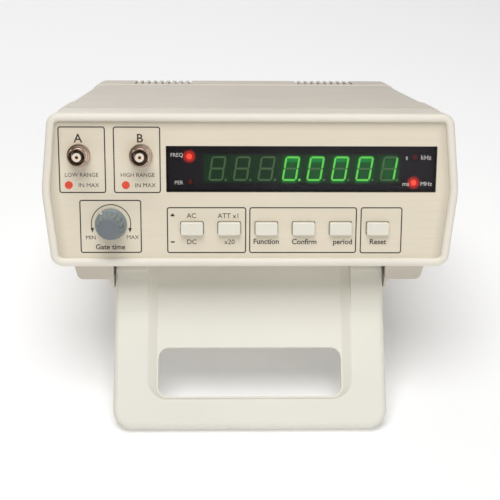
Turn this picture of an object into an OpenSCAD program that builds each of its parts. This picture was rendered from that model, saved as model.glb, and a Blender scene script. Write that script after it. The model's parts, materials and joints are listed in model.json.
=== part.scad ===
// Bench frequency counter on its tilt stand.
// Everything is laid out level first: x to the right, y to the back from the bezel's
// front edge, z up from mid height. stand() then tilts it onto its stand and rear feet.

/* [Case] */
// Width across the middle of the case
body_w = 250; // [240:1:260]
// Width across the top and bottom of the case
body_flat_w = 240.4; // [232:0.2:242]
// Height of the case without rails and feet
body_h = 93; // [92:0.5:96]
// Depth from the bezel's front edge to the covers' rear edge
body_d = 275; // [272:1:285]
// Corner radius of the case's outline
corner_r = 7.5; // [5:0.5:9]
// Wall of the covers between their raised bands
wall = 2.6; // [2:0.1:3]
// Depth of the front bezel
bezel_d = 36; // [34:1:38]
// Width of the rim round the front panel
rim = 5.2; // [4.5:0.1:6]
// Height of the raised bands on the covers
band_rise = 1.2; // [0.6:0.1:1.5]

/* [Stand] */
// Width of the handle
handle_w = 169.2; // [160:0.2:169.2]
// Length of the handle from its hinge to its tip
handle_l = 100.7; // [90:0.1:110]
// Thickness of the handle
handle_t = 10; // [9:0.5:10]
// Angle of the handle ahead of square to the case
handle_rest = 26; // [15:1:35]
// Width of the hand hole
hole_w = 114; // [100:1:116]
// Start of the hand hole along the handle
hole_start = 49.6; // [45:0.2:55]
// End of the hand hole along the handle
hole_end = 80; // [76:0.5:82]
// Depth of the rails below the case
rail_drop = 13.3; // [13:0.1:14]
// Height of the rubber feet
foot_h = 9.2; // [9:0.1:11]

/* [Controls] */
// Distance between neighbouring button centres
button_pitch = 22.43; // [21.5:0.01:22.8]
// Width of a button cap
cap_w = 13.2; // [12:0.1:13.4]
// Height of a button cap
cap_h = 7.6; // [7:0.1:7.8]
// Travel of the latching buttons
latch_travel = 3; // [2:0.5:3]
// Diameter of the knob's skirt
knob_d = 19; // [18:0.5:20]
// How far the knob stands out of the panel
knob_h = 15.5; // [14:0.5:17]
// Diameter of the input sockets' barrels
barrel_d = 9.6; // [9.5:0.05:9.7]

/* [Display] */
// Width of the display window
window_w = 161.9; // [158:0.1:163]
// Height of the display window
window_h = 27.85; // [26:0.05:29]
// Distance between neighbouring digits
digit_pitch = 14.76; // [13.5:0.01:14.8]

/* [Hidden] */
$fn = 48;
SHELL = "#d2cabd";
BEZEL = "#e6e0d2";
PANEL = "#ddd4c0";
CAP = "#e9e6da";
KNOB = "#737f80";
DARK = "#2b2a2a";
STEEL = "#b9bcc0";
GOLD = "#c9a650";
BOARD = "#2f6b45";
LEAD = "#333333";

DIGIT_NODES = [for (i = [1:8]) str("digit_", i)];
BUTTON_NODES = ["ac_dc_button", "attenuator_button", "function_button",
                "confirm_button", "period_button", "reset_button"];

// case levels
half_h = body_h / 2;
inner = wall + band_rise;
floor_z = -half_h + inner;
band_front = 78;
band_rear = 235;
bezel_wall = 2.8;

// layers behind the bezel's rim
rim_d = 2.5;
panel_t = 2;
panel_back = rim_d + panel_t;
rear_panel_y = 267;
flange_y = rear_panel_y + 2;
window_x = 30.3;
window_z = 12.93;
flange = 2;
board_y = 14;
board_t = 1.6;

// stand
rail_in = 85.3;
rail_out = 111;
rail_y = [22, 262];
rail_z = -half_h - rail_drop;
hinge_y = 35;
hinge_z = rail_z + 2.3;
lug_r = 10.5;
lug_t = 2.5;
hinge_r = 3;
running_gap = 0.05;
foot_r = 9;
foot_x = 98;
foot_y = [70, 250];
tip_r = handle_t / 2;

// standing pose: the round tip of the handle and the rear feet's rear edges touch the floor
tip_y = hinge_y - (handle_l - tip_r) * sin(handle_rest);
tip_z = hinge_z - (handle_l - tip_r) * cos(handle_rest);
heel_y = foot_y[1] + foot_r;
heel_z = rail_z - foot_h;
reach = norm([heel_y - tip_y, heel_z - tip_z]);
tilt = atan2(heel_z - tip_z, heel_y - tip_y) + asin(tip_r / reach);
lift = heel_y * sin(tilt) - heel_z * cos(tilt);
front_most = tip_y * cos(tilt) + tip_z * sin(tilt) - tip_r;
rear_most = body_d * cos(tilt) + half_h * sin(tilt);
shift_y = -(front_most + rear_most) / 2;

// screws through the case
post_x = 98;
post_y = [50, 232];
post_r = 4;
screw_r = 1.6;

// main board
board_z = -32;
board_x = 92;
main_y = [42, 222];
main_screw_x = 84;
main_screw_y = [50, 214];
top_z = board_z + board_t;

// controls
socket_x = [-102.1, -65.4];
socket_z = 21.3;
knob_x = -84;
knob_z = -20.3;
button_x = -35.4;
button_z = -22.85;
cap_front = -1;
digit_x = -20.1;
digit_z = 12.75;
lamps = [[-36.9, 20], [-36.5, 4.5], [98.6, 19.8], [98.4, 4.2]];
display_screw_x = [-48, 109];
display_screw_z = [-34, 33];
inlet_x = -80;
inlet_z = -6;
rocker_x = -40;

// Outline of a convex polygon, counter-clockwise, with each corner rounded.
function unit(v) = v / norm(v);
function corner(a, b, c, r, steps) =
    let (to_a = unit(a - b), to_c = unit(c - b), half = acos(to_a * to_c) / 2,
         centre = b + unit(to_a + to_c) * r / sin(half),
         start = atan2(to_a.x, -to_a.y), turn = 180 - 2 * half)
    [for (i = [0:steps]) centre + r * [cos(start + turn * i / steps), sin(start + turn * i / steps)]];
function rounded(points, radii, steps = 6) =
    let (n = len(points))
    [for (i = [0:n - 1]) each corner(points[(i + n - 1) % n], points[i], points[(i + 1) % n],
                                     radii[i], steps)];

// The case's outline, drawn in by a distance all round.
module outline(inset = 0) {
    w = body_w / 2 - inset;
    f = body_flat_w / 2 - inset;
    h = half_h - inset;
    r = max(corner_r - inset, 1.5);
    polygon(rounded([[w, 0], [f, h], [-f, h], [-w, 0], [-f, -h], [f, -h]], [40, r, r, 40, r, r]));
}

// Extrudes a drawing of x and z from one depth to another.
module deep(y0, y1) {
    translate([0, y1, 0]) rotate([90, 0, 0]) linear_extrude(y1 - y0) children();
}

// Extrudes a drawing of y and z across a width about x = 0.
module wide(w) {
    rotate([90, 0, 90]) translate([0, 0, -w / 2]) linear_extrude(w) children();
}

module rod_y(x, z, y0, y1, r) {
    translate([x, y1, z]) rotate([90, 0, 0]) cylinder(h = y1 - y0, r = r);
}

module rod_x(y, z, x0, x1, r) {
    translate([x0, y, z]) rotate([0, 90, 0]) cylinder(h = x1 - x0, r = r);
}

module post(x, y, z0, z1, r) {
    translate([x, y, z0]) cylinder(h = z1 - z0, r = r);
}

module block(low, high) {
    translate(low) cube(high - low);
}

module rounded_block(w, h, y0, y1, r, x = 0, z = 0) {
    translate([x, 0, z]) deep(y0, y1)
        polygon(rounded([[w / 2, h / 2], [-w / 2, h / 2], [-w / 2, -h / 2], [w / 2, -h / 2]],
                        [r, r, r, r]));
}

module on_both_sides() {
    children();
    mirror([1, 0, 0]) children();
}

// A round lead through a list of points, with a slightly fuller joint at each bend.
module lead(points, r) {
    for (i = [0:len(points) - 2]) {
        run = points[i + 1] - points[i];
        translate(points[i])
            rotate([0, acos(run.z / norm(run)), atan2(run.y, run.x)])
            cylinder(h = norm(run), r = r, $fn = 16);
        if (i > 0) translate(points[i]) sphere(r + 0.05, $fn = 16);
    }
}

// Puts the level layout on its stand.
module stand() {
    translate([0, shift_y, lift]) rotate([-tilt, 0, 0]) children();
}

// ---- case ----

// One whole tube with raised bands, before it is split at mid height.
module cover_tube() {
    difference() {
        union() {
            deep(bezel_d, band_front) outline(0.3);
            deep(bezel_d, body_d) outline(band_rise);
            deep(band_rear, body_d) outline(0);
        }
        deep(bezel_d - 1, body_d + 1) outline(inner);
    }
    for (y = [rear_panel_y - 1.6, rear_panel_y + 2.1])
        deep(y, y + 1.5) difference() { outline(inner - 0.2); outline(inner + 2); }
}

module vent_row(x, y0, y1, z0, z1) {
    pitch = 5.35;
    slot_w = 2.6;
    for (i = [-4:4])
        block([x + i * pitch - slot_w / 2, y0, z0], [x + i * pitch + slot_w / 2, y1, z1]);
}

module top_cover() {
    color(SHELL) stand() {
        difference() {
            intersection() {
                cover_tube();
                block([-200, 0, 0], [200, 300, 100]);
            }
            for (x = [-65, 65]) {
                vent_row(x, 240, 262, half_h - 8, half_h + 1);
                vent_row(x, 240, body_d + 1, half_h - 1.4, half_h + 1);
            }
        }
        for (x = [-post_x, post_x], y = post_y)
            difference() {
                post(x, y, 0, half_h - wall, post_r);
                post(x, y, -1, 16, screw_r);
            }
    }
}

module rail() {
    difference() {
        deep(rail_y[0], rail_y[1])
            polygon([[rail_in, -half_h + 0.8], [rail_in, rail_z], [rail_out - 4.5, rail_z],
                     [rail_out - 2.2, rail_z + 1.1], [rail_out - 1.2, rail_z + 3.4],
                     [rail_out, -half_h + 0.8]]);
        block([rail_in - 1, rail_y[0] - 1, -half_h - 0.05], [rail_out + 1, bezel_d, -half_h + 2]);
        block([rail_in + 2.7, rail_y[0] + 2.6, rail_z + wall], [rail_out - 4, bezel_d, -half_h - wall]);
        block([rail_in + 2.7, bezel_d - 1, rail_z + wall], [rail_out - 4, rail_y[1] - 2.6, 0]);
    }
    difference() {
        union() {
            rod_x(hinge_y, hinge_z, rail_in, rail_in + lug_t, lug_r);
            block([rail_in, hinge_y - lug_r, hinge_z], [rail_in + lug_t, hinge_y + lug_r, -half_h - 0.05]);
        }
        rod_x(hinge_y, hinge_z, rail_in - 1, rail_in + lug_t + 1, hinge_r + running_gap);
    }
}

module bottom_cover() {
    color(SHELL) stand() difference() {
        union() {
            difference() {
                intersection() {
                    cover_tube();
                    block([-200, 0, -100], [200, 300, 0]);
                }
                for (x = [-50, 50]) vent_row(x, 60, 100, -half_h - 1, floor_z + 1);
                on_both_sides()
                    block([rail_in + 2.7, bezel_d + 2.6, -half_h - 1], [rail_out - 4, 259, floor_z + 1]);
            }
            on_both_sides() rail();
            for (x = [-post_x, post_x], y = post_y) post(x, y, rail_z, 0, post_r + 1.5);
            for (x = [-main_screw_x, main_screw_x], y = main_screw_y)
                post(x, y, floor_z - 0.5, board_z, 3.2);
        }
        for (x = [-post_x, post_x], y = post_y) {
            post(x, y, rail_z - 1, 1, screw_r + 0.2);
            post(x, y, rail_z - 1, rail_z + 12, 3.5);
        }
        for (x = [-main_screw_x, main_screw_x], y = main_screw_y)
            post(x, y, board_z - 8, board_z + 1, screw_r);
        for (x = [-foot_x, foot_x], y = foot_y) post(x, y, rail_z - 1, rail_z + 3, 2);
        on_both_sides()
            rod_x(hinge_y, hinge_z, rail_in - 1, rail_in + lug_t + 1, hinge_r + running_gap);
    }
}

module front_bezel() {
    sleeve = inner + 0.2;
    color(BEZEL) stand() {
        deep(0, rim_d) difference() { outline(0); outline(rim); }
        deep(rim_d, bezel_d) difference() { outline(0); outline(bezel_wall); }
        deep(bezel_d - 4, bezel_d) difference() { outline(1); outline(sleeve + 1.6); }
        deep(bezel_d, bezel_d + 8) difference() { outline(sleeve); outline(sleeve + 1.6); }
    }
}

module front_panel() {
    color(PANEL) stand() {
        difference() {
            deep(rim_d, panel_back) outline(bezel_wall + 0.1);
            rounded_block(window_w, window_h, 0, 9, 0.5, window_x, window_z);
            for (x = socket_x) rod_y(x, socket_z, 0, 9, 4.85);
            rod_y(knob_x, knob_z, 0, 9, 3.6);
            for (i = [0:5])
                rounded_block(cap_w + 1, cap_h + 1, 0, 9, 1.2, button_x + i * button_pitch, button_z);
        }
        for (x = display_screw_x, z = display_screw_z)
            difference() {
                rod_y(x, z, panel_back, board_y, 3);
                rod_y(x, z, panel_back + 2, board_y + 1, screw_r);
            }
    }
}

module display_window() {
    color(DARK, 0.8) stand() {
        rounded_block(window_w - 0.2, window_h - 0.2, rim_d - 0.1, panel_back, 0.4, window_x, window_z);
        rounded_block(window_w + flange, window_h + flange, panel_back, panel_back + 1, 0.8,
                      window_x, window_z);
    }
}

module rear_panel() {
    color(PANEL) stand() difference() {
        deep(rear_panel_y, flange_y) outline(inner + 0.1);
        block([inlet_x - 14, 0, inlet_z - 16], [inlet_x + 14, 300, inlet_z + 16]);
        block([rocker_x - 6.5, 0, -10], [rocker_x + 6.5, 300, 10]);
        for (i = [-8:8]) block([40 + i * 5 - 1.2, 0, -18], [40 + i * 5 + 1.2, 300, 18]);
    }
}

module case_screws() {
    head_z = rail_z + 12;
    color(STEEL) stand() for (x = [-post_x, post_x], y = post_y) difference() {
        union() {
            post(x, y, head_z - 2.2, head_z, 3);
            post(x, y, head_z, 14, screw_r);
        }
        for (turn = [0, 90]) translate([x, y, head_z - 2.3]) rotate(turn)
            cube([3.6, 0.8, 2.4], center = true);
    }
}

module rubber_feet() {
    color(DARK) stand() for (x = [-foot_x, foot_x], y = foot_y) {
        post(x, y, rail_z - foot_h, rail_z, foot_r);
        post(x, y, rail_z, rail_z + 2.6, 2);
    }
}

// ---- stand ----

// Moves a handle drawn hanging straight down from its hinge to its place.
module hung() {
    translate([0, hinge_y, hinge_z]) rotate([-handle_rest, 0, 0]) children();
}

module handle() {
    half_w = handle_w / 2;
    plate = 1.5;
    bevel = 6.6;
    hub_r = 8;
    corner_big = 12;
    arm_x = hole_w / 2 + bevel;
    color(BEZEL) stand() hung() difference() {
        intersection() {
            deep(-tip_r, tip_r)
                polygon(rounded([[half_w, hub_r], [-half_w, hub_r], [-half_w, -handle_l],
                                 [half_w, -handle_l]], [2, 2, corner_big, corner_big], 10));
            union() {
                wide(handle_w) polygon([[-tip_r, 0], [-tip_r, -handle_l + tip_r],
                                        [tip_r, -handle_l + tip_r], [tip_r, 0]]);
                rod_x(0, -handle_l + tip_r, -half_w, half_w, tip_r);
                rod_x(0, 0, -half_w, half_w, tip_r);
                on_both_sides() rod_x(0, 0, hole_w / 2 + bevel, half_w, hub_r);
            }
        }
        // recess between the arms, front and back
        for (side = [0, 1]) mirror([0, side, 0])
            translate([0, 0, -hole_end]) linear_extrude(hole_end + hub_r + 1)
                polygon([[-arm_x, -tip_r - 4], [-arm_x, -tip_r], [-hole_w / 2, -plate],
                         [hole_w / 2, -plate], [arm_x, -tip_r], [arm_x, -tip_r - 4]]);
        translate([0, 0, -(hole_start + hole_end) / 2])
            rounded_block(hole_w, hole_end - hole_start, -20, 20, 6.5);
        // ribbed hollows in the back of the arms
        on_both_sides() for (i = [0:3])
            block([arm_x + 2, -1.5, -26 - i * 17], [half_w - 2.5, 20, -11 - i * 17]);
        on_both_sides() rod_x(0, 0, half_w - 14, half_w + 1, hinge_r);
    }
}

module hinge_pins() {
    color(STEEL) stand() on_both_sides()
        rod_x(hinge_y, hinge_z, handle_w / 2 - 14, rail_in + lug_t, hinge_r);
}

module hinge_washers() {
    color(STEEL) stand() on_both_sides() difference() {
        rod_x(hinge_y, hinge_z, rail_in - 0.5, rail_in, 7.5);
        rod_x(hinge_y, hinge_z, rail_in - 1, rail_in + 1, hinge_r + 0.3);
    }
}

// ---- input sockets ----

barrel_r = barrel_d / 2;
socket_front = -9.5;
thread_end = 12;

module socket_shells() {
    color(STEEL) stand() for (x = socket_x) difference() {
        union() {
            rod_y(x, socket_z, socket_front, socket_front + 4, barrel_r);
            rod_y(x, socket_z, socket_front + 4, rim_d, barrel_r + 0.06);
            rod_y(x, socket_z, 0, rim_d, 6.9);
            rod_y(x, socket_z, rim_d, thread_end, 4.75);
            translate([x, socket_front + 5.2, socket_z]) rotate([0, 40, 0])
                translate([-5.5, 0, 0]) rotate([0, 90, 0]) cylinder(h = 11, r = 1);
        }
        rod_y(x, socket_z, socket_front - 1, -1.5, 4.05);
        rod_y(x, socket_z, -2, thread_end + 1, 2.6);
    }
}

module socket_insulators() {
    color("#f2efe8") stand() for (x = socket_x) difference() {
        rod_y(x, socket_z, socket_front + 0.9, thread_end, 2.6);
        rod_y(x, socket_z, socket_front, thread_end + 1, 1.05);
    }
}

module socket_contacts() {
    color(GOLD) stand() for (x = socket_x) difference() {
        rod_y(x, socket_z, socket_front + 1.3, thread_end + 3, 1.05);
        rod_y(x, socket_z, socket_front, socket_front + 6.3, 0.68);
    }
}

module socket_washers() {
    color(STEEL) stand() for (x = socket_x) difference() {
        rod_y(x, socket_z, panel_back, panel_back + 0.8, 8);
        rod_y(x, socket_z, 0, 20, 4.75);
    }
}

module socket_nuts() {
    nut_y = panel_back + 0.8;
    color(STEEL) stand() for (x = socket_x) difference() {
        translate([x, nut_y + 3, socket_z]) rotate([90, 0, 0]) cylinder(h = 3, r = 8, $fn = 6);
        rod_y(x, socket_z, 0, 20, 4.75);
    }
}

// ---- gate time control ----

knob_gap = 0.5;
shaft_r = 3;

module gate_time_knob() {
    base = rim_d - knob_gap;
    flutes = 14;
    color(KNOB) stand() translate([knob_x, base, knob_z]) rotate([90, 0, 0]) difference() {
        rotate_extrude()
            polygon([[0, 0], [knob_d / 2, 0], [knob_d / 2, 1.6], [knob_d / 2 - 0.7, 2.4],
                     [8.2, 2.6], [6.9, knob_h - 1.6], [6, knob_h - 0.5], [0, knob_h - 0.5]]);
        for (i = [0:flutes - 1]) rotate(i * 360 / flutes)
            translate([8.75, 0, 3.2]) rotate([0, -5, 0]) cylinder(h = 20, r = 1, $fn = 20);
        translate([0, 0, -1]) cylinder(h = 7.5, r = 6.4);
        cylinder(h = 13, r = shaft_r);
    }
}

module pot_shaft() {
    color(STEEL) stand() rod_y(knob_x, knob_z, rim_d - knob_gap - 12.8, 8, shaft_r);
}

module pot_body() {
    color(STEEL) stand() difference() {
        union() {
            rod_y(knob_x, knob_z, -3.3, panel_back, 3.55);
            rounded_block(17, 19, panel_back, 13, 2, knob_x, knob_z - 1);
        }
        rod_y(knob_x, knob_z, -4, 8.5, shaft_r + running_gap);
    }
}

module pot_nut() {
    color(STEEL) stand() difference() {
        union() {
            rod_y(knob_x, knob_z, rim_d - 0.6, rim_d, 5.9);
            translate([knob_x, rim_d - 0.6, knob_z]) rotate([90, 0, 0])
                cylinder(h = 2, r = 5.75, $fn = 6);
        }
        rod_y(knob_x, knob_z, -4, 9, 3.55);
    }
}

// ---- push buttons ----

function button_at(i) = button_x + i * button_pitch;
stem = 3.6;

module button(i) {
    latching = i < 2;
    stem_end = latching ? 10.5 : 9;
    color(CAP) stand() {
        rounded_block(cap_w, cap_h, cap_front, panel_back + 0.5, 1.1, button_at(i), button_z);
        block([button_at(i) - stem / 2, panel_back + 0.5, button_z - stem / 2],
              [button_at(i) + stem / 2, stem_end, button_z + stem / 2]);
        if (!latching) rod_y(button_at(i), button_z, stem_end, stem_end + 2.5, 1.5);
    }
}

module latch_switches() {
    hole = stem + 0.7;
    color(DARK) stand() for (i = [0, 1]) difference() {
        rounded_block(9, 9, 8.5, board_y, 0.5, button_at(i), button_z);
        rounded_block(hole, hole, 8, board_y + 1, 0.3, button_at(i), button_z);
    }
}

module tact_switches() {
    color(DARK) stand() for (i = [2:5]) difference() {
        rounded_block(6.2, 6.2, 10.5, board_y, 0.5, button_at(i), button_z);
        rod_y(button_at(i), button_z, 10, 13.3, 1.85);
    }
}

// ---- display ----

module digit(i) {
    color("#22382a") stand()
        rounded_block(12.7, 19, 6.5, board_y, 0.4, digit_x + i * digit_pitch, digit_z);
}

module indicator_lamps() {
    color("#8a1f1c") stand() for (p = lamps) {
        rod_y(p.x, p.y, 8, board_y, 1.5);
        translate([p.x, 8, p.y]) sphere(1.5);
    }
}

module display_board() {
    color(BOARD) stand() difference() {
        block([-53, board_y, -38], [114, board_y + board_t, 37]);
        for (x = display_screw_x, z = display_screw_z) rod_y(x, z, 0, 30, screw_r);
    }
}

module display_screws() {
    color(STEEL) stand() for (x = display_screw_x, z = display_screw_z) {
        rod_y(x, z, panel_back + 3, board_y + board_t, screw_r);
        rod_y(x, z, board_y + board_t, board_y + board_t + 1.8, 3);
    }
}

// ---- main board and what is on it ----

module main_board() {
    color(BOARD) stand() difference() {
        block([-board_x, main_y[0], board_z], [board_x, main_y[1], top_z]);
        for (x = [-main_screw_x, main_screw_x], y = main_screw_y)
            post(x, y, board_z - 1, top_z + 1, screw_r);
    }
}

module board_screws() {
    color(STEEL) stand() for (x = [-main_screw_x, main_screw_x], y = main_screw_y) {
        post(x, y, board_z - 7, top_z, screw_r);
        post(x, y, top_z, top_z + 1.8, 3);
    }
}

// Flat cable from the display board's back down to the main board.
module ribbon_cable() {
    back = board_y + board_t;
    color("#8f9499") stand() translate([45, 0, 0]) wide(34)
        polygon([[back, -16], [back, -17], [back + 8, -17], [back + 30, top_z + 6],
                 [back + 30, top_z], [back + 31, top_z], [back + 31, top_z + 6.5],
                 [back + 8.5, -16]]);
}

module coax_leads() {
    color(LEAD) stand() for (x = socket_x)
        lead([[x, thread_end + 3, socket_z], [x, 22, socket_z], [x + 12, 44, 4],
              [x + 20, 64, top_z + 26], [x + 20, 64, top_z + 18]], 1.4);
}

module input_can() {
    color(STEEL) stand() block([-88, 58, top_z], [-30, 104, top_z + 18]);
}

module oscillator_can() {
    color(STEEL) stand() rounded_can([0, 80], 36, 27, 20);
}

module rounded_can(at, w, d, h) {
    translate([at.x, at.y, top_z]) linear_extrude(h)
        polygon(rounded([[w / 2, d / 2], [-w / 2, d / 2], [-w / 2, -d / 2], [w / 2, -d / 2]],
                        [3, 3, 3, 3]));
}

// A chip body with two rows of legs.
module chip(x, y, w, d, pins) {
    h = 4;
    block([x - w / 2, y - d / 2, top_z + 0.6], [x + w / 2, y + d / 2, top_z + h]);
    for (side = [-1, 1], i = [0:pins - 1])
        translate([x + (i - (pins - 1) / 2) * 2.54, y + side * (d / 2 + 0.3), top_z + 1])
            cube([0.6, 0.7, 2], center = true);
}

module counter_chip() {
    color(DARK) stand() chip(10, 130, 52, 14, 20);
}

module logic_chips() {
    color(DARK) stand() for (x = [-60, -30, 60]) chip(x, 150 - abs(x) / 3, 19.5, 6.4, 7);
}

module transformer_core() {
    color("#6b6e72") stand() difference() {
        block([-82, 164, top_z], [-34, 196, top_z + 40]);
        block([-74, 160, top_z + 8], [-66, 200, top_z + 32]);
        block([-50, 160, top_z + 8], [-42, 200, top_z + 32]);
    }
}

// The coil round the core's middle limb.
module transformer_windings() {
    color("#8a4b22") stand() difference() {
        block([-73.5, 157, top_z + 8.5], [-42.5, 203, top_z + 31.5]);
        block([-66, 163.9, top_z + 8], [-50, 196.1, top_z + 33]);
    }
}

module rectifier() {
    color(DARK) stand() block([-24, 200, top_z], [-8, 206, top_z + 14]);
}

module filter_capacitors() {
    color("#25405e") stand() for (x = [-14, 8]) post(x, 180, top_z, top_z + 28, 8);
}

module heat_sink() {
    color("#9b9ea2") stand() {
        block([34, 196, top_z], [76, 199, top_z + 30]);
        for (i = [0:6]) block([34 + i * 6.5, 199, top_z], [37 + i * 6.5, 211, top_z + 30]);
    }
}

module regulator() {
    color(DARK) stand() {
        block([50, 191.5, top_z + 8], [60, 196, top_z + 17]);
        block([50, 194.7, top_z + 17], [60, 196, top_z + 24]);
    }
}

// ---- rear fittings ----

pin_row = 7;

module pin_shapes() {
    for (p = [[-7, pin_row], [7, pin_row], [0, 3]])
        block([inlet_x + p.x - 1, 244, inlet_z + p.y - 2], [inlet_x + p.x + 1, 266, inlet_z + p.y + 2]);
}

module mains_inlet() {
    color(DARK) stand() difference() {
        union() {
            rounded_block(32, 37, flange_y, flange_y + 2.5, 2, inlet_x, inlet_z);
            block([inlet_x - 13.8, 248, inlet_z - 15.8], [inlet_x + 13.8, flange_y, inlet_z + 15.8]);
        }
        // plug cavity, with its two lower corners cut off
        deep(252, 280) polygon([[inlet_x - 12, inlet_z + 13], [inlet_x - 12, inlet_z + 1],
                                [inlet_x - 8, inlet_z - 3], [inlet_x + 8, inlet_z - 3],
                                [inlet_x + 12, inlet_z + 1], [inlet_x + 12, inlet_z + 13]]);
        // drawer slot
        block([inlet_x - 11, 250, inlet_z - 14], [inlet_x + 11, 280, inlet_z - 5.6]);
        pin_shapes();
    }
}

module inlet_pins() {
    color(STEEL) stand() pin_shapes();
}

module fuse_drawer() {
    color(DARK) stand() difference() {
        union() {
            block([inlet_x - 10.7, 252, inlet_z - 13.7], [inlet_x + 10.7, flange_y + 2.5, inlet_z - 5.9]);
            block([inlet_x - 6, flange_y + 2.5, inlet_z - 11], [inlet_x + 6, flange_y + 3.6, inlet_z - 9.6]);
        }
        block([inlet_x - 10.5, 254, inlet_z - 12.9], [inlet_x + 10.5, 262, inlet_z - 5]);
    }
}

module fuse() {
    color("#cfd6d6") stand() rod_x(258, inlet_z - 9.9, inlet_x - 10, inlet_x + 10, 2.6);
}

rocker_axis_y = flange_y - 1;

module rocker_frame() {
    color(DARK) stand() difference() {
        union() {
            rounded_block(15, 21, flange_y, flange_y + 2, 1, rocker_x, 0);
            block([rocker_x - 6.4, 255, -9.6], [rocker_x + 6.4, flange_y, 9.6]);
        }
        block([rocker_x - 5, 258, -8.4], [rocker_x + 5, 280, 8.4]);
        rod_x(rocker_axis_y, 0, rocker_x - 6.2, rocker_x + 6.2, 1 + running_gap);
    }
}

module power_rocker() {
    on_angle = 8;
    color("#1f1f20") stand() {
        translate([rocker_x, rocker_axis_y, 0]) rotate([on_angle, 0, 0]) {
            wide(9.2) polygon([[-5, -4], [-5, 4], [1.6, 7.4], [4.3, 7], [2.9, 0], [4.3, -7], [1.6, -7.4]]);
            rod_x(0, 0, -6, 6, 1);
        }
    }
}

// Straight leads from the two upper pins to the coil.
module mains_leads() {
    clear = 0.6;
    coil_z = -8;
    color(LEAD) stand() for (side = [-7, 7])
        lead([[inlet_x + side, 244 - clear, inlet_z + pin_row],
              [inlet_x + side + 18, 203 + clear, coil_z]], 1.2);
}

top_cover();
bottom_cover();
front_bezel();
front_panel();
display_window();
rear_panel();
handle();
hinge_pins();
hinge_washers();
rubber_feet();
case_screws();
socket_shells();
socket_insulators();
socket_contacts();
socket_nuts();
socket_washers();
gate_time_knob();
pot_shaft();
pot_body();
pot_nut();
for (i = [0:5]) button(i);
latch_switches();
tact_switches();
for (i = [0:7]) digit(i);
indicator_lamps();
display_board();
display_screws();
main_board();
board_screws();
ribbon_cable();
coax_leads();
input_can();
oscillator_can();
counter_chip();
logic_chips();
transformer_core();
transformer_windings();
rectifier();
filter_capacitors();
regulator();
heat_sink();
mains_inlet();
inlet_pins();
fuse_drawer();
fuse();
rocker_frame();
power_rocker();
mains_leads();
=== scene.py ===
"""Frequency counter on its tilt stand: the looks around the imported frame."""

import json
import math

import bmesh
import bpy
from mathutils import Matrix, Vector


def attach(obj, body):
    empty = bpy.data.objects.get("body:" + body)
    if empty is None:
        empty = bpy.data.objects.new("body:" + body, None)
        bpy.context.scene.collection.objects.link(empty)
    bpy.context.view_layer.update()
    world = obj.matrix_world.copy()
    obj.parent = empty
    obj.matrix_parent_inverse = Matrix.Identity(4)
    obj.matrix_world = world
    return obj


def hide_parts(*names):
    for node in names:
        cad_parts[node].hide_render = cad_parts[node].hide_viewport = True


bl_info = {
    "name": "Frequency Counter",
    "version": (1, 0, 0),
    "blender": (4, 5, 0),
    "location": "View3D > Sidebar > Counter",
    "description": "Builds a bench frequency counter round its mechanical frame",
    "category": "Add Mesh",
}

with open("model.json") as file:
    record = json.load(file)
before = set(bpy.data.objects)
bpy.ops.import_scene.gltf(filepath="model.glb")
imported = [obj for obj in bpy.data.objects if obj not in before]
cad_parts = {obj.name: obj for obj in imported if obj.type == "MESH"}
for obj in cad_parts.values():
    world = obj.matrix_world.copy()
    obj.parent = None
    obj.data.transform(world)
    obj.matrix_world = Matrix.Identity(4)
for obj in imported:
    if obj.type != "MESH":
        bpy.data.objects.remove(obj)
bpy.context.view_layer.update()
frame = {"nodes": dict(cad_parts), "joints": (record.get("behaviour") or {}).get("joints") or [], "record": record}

# ---- the level layout -------------------------------------------------------
# The case is drawn level, in millimetres: x to the right, y to the back from the bezel's
# front edge, z up from mid height. LEVEL then puts a drawing on the tilted stand.

MM = 0.001
HINGE_Y, HINGE_Z = 35, -57.5
HANDLE_REST = math.radians(26)


def joint(name):
    return next(j for j in frame["joints"] if j["name"] == name)


BACK = Vector(joint("reset_press")["axis"])
RIGHT = Vector((1, 0, 0))
UP = RIGHT.cross(BACK)
HINGE = Vector(joint("handle_swing")["pos_m"])
TURN = Matrix((RIGHT, BACK, UP)).transposed().to_4x4()
ORIGIN = HINGE - MM * (HINGE_Y * BACK + HINGE_Z * UP)
LEVEL = Matrix.Translation(ORIGIN) @ TURN @ Matrix.Scale(MM, 4)
HUNG = LEVEL @ Matrix.Translation((0, HINGE_Y, HINGE_Z)) @ Matrix.Rotation(-HANDLE_REST, 4, "X")

HALF_H = 46.5
BEZEL_DEPTH = 36
RIM_DEPTH = 2.5
CASE_DEPTH = 275
RAIL_Z = -HALF_H - 13.3
REAR_FACE = 269
BANDS = ((36, 78), (235, 275))
TOP_VENT_X, TOP_VENT_START, TOP_VENT_END = (-65, 65), 240, 262
BOTTOM_VENT_X, BOTTOM_VENT_START, BOTTOM_VENT_END = (-50, 50), 60, 100
SOCKETS = {"a": -102.1, "b": -65.4}
SOCKET_Z, SOCKET_LIP = 21.3, -9.2
KNOB_X, KNOB_Z, KNOB_BASE, KNOB_FACE = -84, -20.3, 2, -12
BUTTONS = ("ac_dc", "attenuator", "function", "confirm", "period", "reset")
BUTTON_X, BUTTON_Z, BUTTON_PITCH = -35.4, -22.85, 22.43
WINDOW_X, WINDOW_Z = 30.3, 12.93
DIGIT_X, DIGIT_Z, DIGIT_PITCH = -20.1, 12.75, 14.76
LEAN = math.tan(math.radians(9))
LAMPS = {"frequency": (-36.9, 20, True), "period": (-36.5, 4.5, False),
         "upper_unit": (98.6, 19.8, False), "lower_unit": (98.4, 4.2, True)}
FEET = [(x, y) for x in (-98, 98) for y in (70, 250)]
FOOT_HEIGHT = 9.2


# ---- settings ---------------------------------------------------------------

def length(name, description, default, low, high):
    """A length setting, given in millimetres and kept in metres."""
    return bpy.props.FloatProperty(name=name, description=description, default=default * MM,
                                   min=low * MM, max=high * MM, precision=5, unit="LENGTH")


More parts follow.
